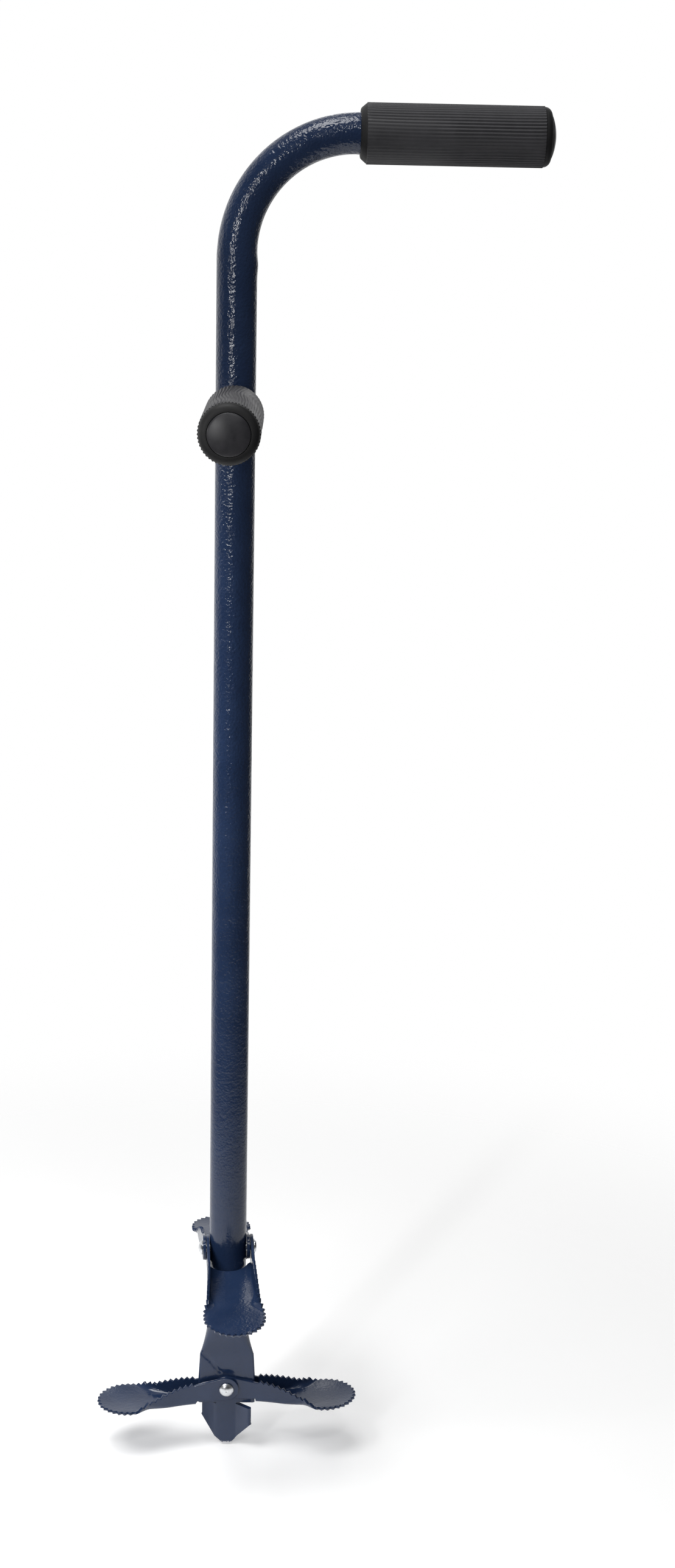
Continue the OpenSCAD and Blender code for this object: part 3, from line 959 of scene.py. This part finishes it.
def folded_wing(name, blank, place):
    """Thicken the folded blank to a closed sheet with slightly rounded cut edges."""
    verts, triangles = cut_sheet(blank)
    count = {}
    for tri in triangles:
        for a, b in zip(tri, tri[1:] + tri[:1]):
            key = (min(a, b), max(a, b))
            count.setdefault(key, []).append((a, b))
    border = [pairs[0] for pairs in count.values() if len(pairs) == 1]
    inward = {}
    for a, b in border:
        along = (verts[b] - verts[a]).normalized()
        aside = Vector((-along.y, along.x))
        for i in (a, b):
            inward[i] = inward.get(i, Vector((0, 0))) + aside
    half, edge = SHEET / 2, CUT_ROUND
    layers = []
    for lift, inset in ((half, edge), (half - edge, 0.0), (edge - half, 0.0), (-half, edge)):
        layer = []
        for i, p in enumerate(verts):
            q = p
            if inset and i in inward and inward[i].length > 1e-6:
                q = p + inward[i].normalized() * inset
            layer.append(place(blank.place(q.x, q.y) + blank.normal(p.x, p.y) * lift))
        layers.append(layer)
    n = len(verts)
    points = [p for layer in layers for p in layer]
    faces = [tuple(tri) for tri in triangles]
    faces += [tuple(3 * n + i for i in reversed(tri)) for tri in triangles]
    for a, b in border:
        for k in range(3):
            faces.append((k * n + b, k * n + a, (k + 1) * n + a, (k + 1) * n + b))
    piece = build(name, points, faces, sharp=38)
    work = bmesh.new()
    work.from_mesh(piece.data)
    loose = [v for v in work.verts if not v.link_faces]
    bmesh.ops.delete(work, geom=loose, context="VERTS")
    work.to_mesh(piece.data)
    work.free()
    return piece


def wing_place(joint, rise):
    """Places the wing's frame, u outward and w up, at a joint with its tip raised."""
    centre, axis = pivot(joint)
    up = Vector((0, 0, 1))
    outward = up.cross(axis)
    turn = Matrix((outward, -axis, up)).transposed() @ Matrix.Rotation(-rise, 3, "Y")
    return lambda p: turn @ p + centre


def stop_at(face, rise):
    """Where a floor's lower edge ends, a side gap short of a face, at the wing's rest rise."""
    return (face + SIDE_GAP - FLOOR_DROP * math.sin(rise)) / math.cos(rise)


WING_PEEL = 0.10 * MM
UPPER_FLOOR_START = 6.0
UPPER_FRONT_RISE = math.radians(-7.7)
UPPER_REAR_RISE = math.radians(-6.0)
LOWER_LEFT_RISE = math.radians(-0.8)
LOWER_RIGHT_RISE = math.radians(1.8)
coat = powder_coat("navy wing coat", WING_PEEL)
wings = (
    ("upper_front_wing", "upper_front_fold", UPPER_FRONT_RISE),
    ("upper_rear_wing", "upper_rear_fold", UPPER_REAR_RISE),
    ("lower_left_wing", "lower_left_fold", LOWER_LEFT_RISE),
    ("lower_right_wing", "lower_right_fold", LOWER_RIGHT_RISE),
)
for node, joint, rise in wings:
    if node.startswith("upper"):
        blank = Blank(TUBE_R, UPPER_FLOOR_START, stop_at(TUBE_R, rise))
    else:
        blank = Blank(WALL, stop_at(BLADE_HALF, rise), 0.0)
    wing = folded_wing(node + "_scoop", blank, wing_place(joint, rise))
    wing.data.materials.append(coat)
    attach(wing, node)
    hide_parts(node)

# ---- floor, light and camera -------------------------------------------------------------
# A plain pale floor under the spear's tip, broad soft lamps over and beside the tool, and a
# camera a little above it, looking down the shaft.

FLOOR_R = 0.80
FLOOR_SOLID_R = 0.30
floor_mesh = bpy.data.meshes.new("studio_floor")
floor_mesh.from_pydata([(FLOOR_R * math.cos(2 * math.pi * k / 96),
                         FLOOR_R * math.sin(2 * math.pi * k / 96), -0.4 * MM)
                        for k in range(96)], [], [tuple(range(96))])
floor = bpy.data.objects.new("studio_floor", floor_mesh)
bpy.context.scene.collection.objects.link(floor)
pale = Shade("pale floor")
reach = Value(pale, pale.node("ShaderNodeVectorMath", {"operation": "LENGTH"},
                              _0=pale.place()).outputs["Value"])
pale.set(Base_Color=(0.93, 0.93, 0.93, 1), Roughness=0.85, Specular_IOR_Level=0.1,
         Emission_Color=(1, 1, 1, 1), Emission_Strength=0.25,
         Alpha=1 - pale.ramp(reach, FLOOR_SOLID_R, FLOOR_R))
floor_mesh.materials.append(pale.material)
floor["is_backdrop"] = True

# The room is white behind the tool and dark in front, as the gloss of the coat needs it
FRONT_LIGHT = 0.07
BACK_LIGHT = 0.95
sky = Shade("studio", "worlds", "Background")
aim = sky.place("Generated")
behind = sky.ramp(sky.axis(aim, 1) * 0.9 - sky.axis(aim, 0) * 0.35, 0.08, 0.95)
lowness = 1 - 0.45 * sky.ramp(sky.axis(aim, 2), 0.35, 0.85)
room = FRONT_LIGHT + (BACK_LIGHT - FRONT_LIGHT) * behind * lowness
seen = Value(sky, sky.node("ShaderNodeLightPath").outputs["Is Camera Ray"])
sky.set(Color=(1, 1, 1, 1), Strength=seen + (1 - seen) * room)
bpy.context.scene.world = sky.material
bpy.context.scene.view_settings.view_transform = "Standard"


def soft_lamp(name, place, aim, width, height, power):
    lamp = bpy.data.lights.new(name, "AREA")
    lamp.shape = "RECTANGLE"
    lamp.size, lamp.size_y = width, height
    lamp.energy = power
    piece = bpy.data.objects.new(name, lamp)
    piece.location = place
    piece.rotation_euler = (Vector(aim) - Vector(place)).to_track_quat("-Z", "Y").to_euler()
    piece.visible_camera = False
    bpy.context.scene.collection.objects.link(piece)


soft_lamp("over_lamp", (-0.3, -0.2, 2.6), (0, 0, 0.4), 1.0, 1.0, 22)
soft_lamp("wing_lamp", (0.27, 1.37, 1.42), (0, 0, 0.15), 0.62, 0.55, 1.6)
soft_lamp("floor_lamp", (-0.38, -0.22, 0.75), (-0.38, -0.22, 0), 0.35, 0.35, 3.5)
soft_lamp("strip_lamp", (-0.66, -1.35, 1.0), (0, 0, 0.9), 0.08, 0.8, 7)
soft_lamp("handle_lamp", (0.28, -1.25, 1.80), (0.1, 0, 0.9), 0.30, 0.15, 3)

LENS = 53.35
SENSOR_WIDTH = 36
CAMERA_AT = Vector((0.01895, -1.4808, 0.8730))
CAMERA_YAW = math.radians(1.95)
CAMERA_PITCH = math.radians(14.67)
CAMERA_ROLL = math.radians(1.21)
camera_data = bpy.data.cameras.new("camera")
camera_data.lens = LENS
camera_data.sensor_width = SENSOR_WIDTH
camera = bpy.data.objects.new("camera", camera_data)
look = (Matrix.Rotation(-CAMERA_YAW, 3, "Z")
        @ Matrix.Rotation(math.pi / 2 - CAMERA_PITCH, 3, "X")
        @ Matrix.Rotation(CAMERA_ROLL, 3, "Z"))
camera.matrix_world = Matrix.Translation(CAMERA_AT) @ look.to_4x4()
bpy.context.scene.collection.objects.link(camera)
bpy.context.scene.camera = camera

seen_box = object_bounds()
[[list(map(float, corner)) for corner in box] for box in (cad_box, seen_box)]
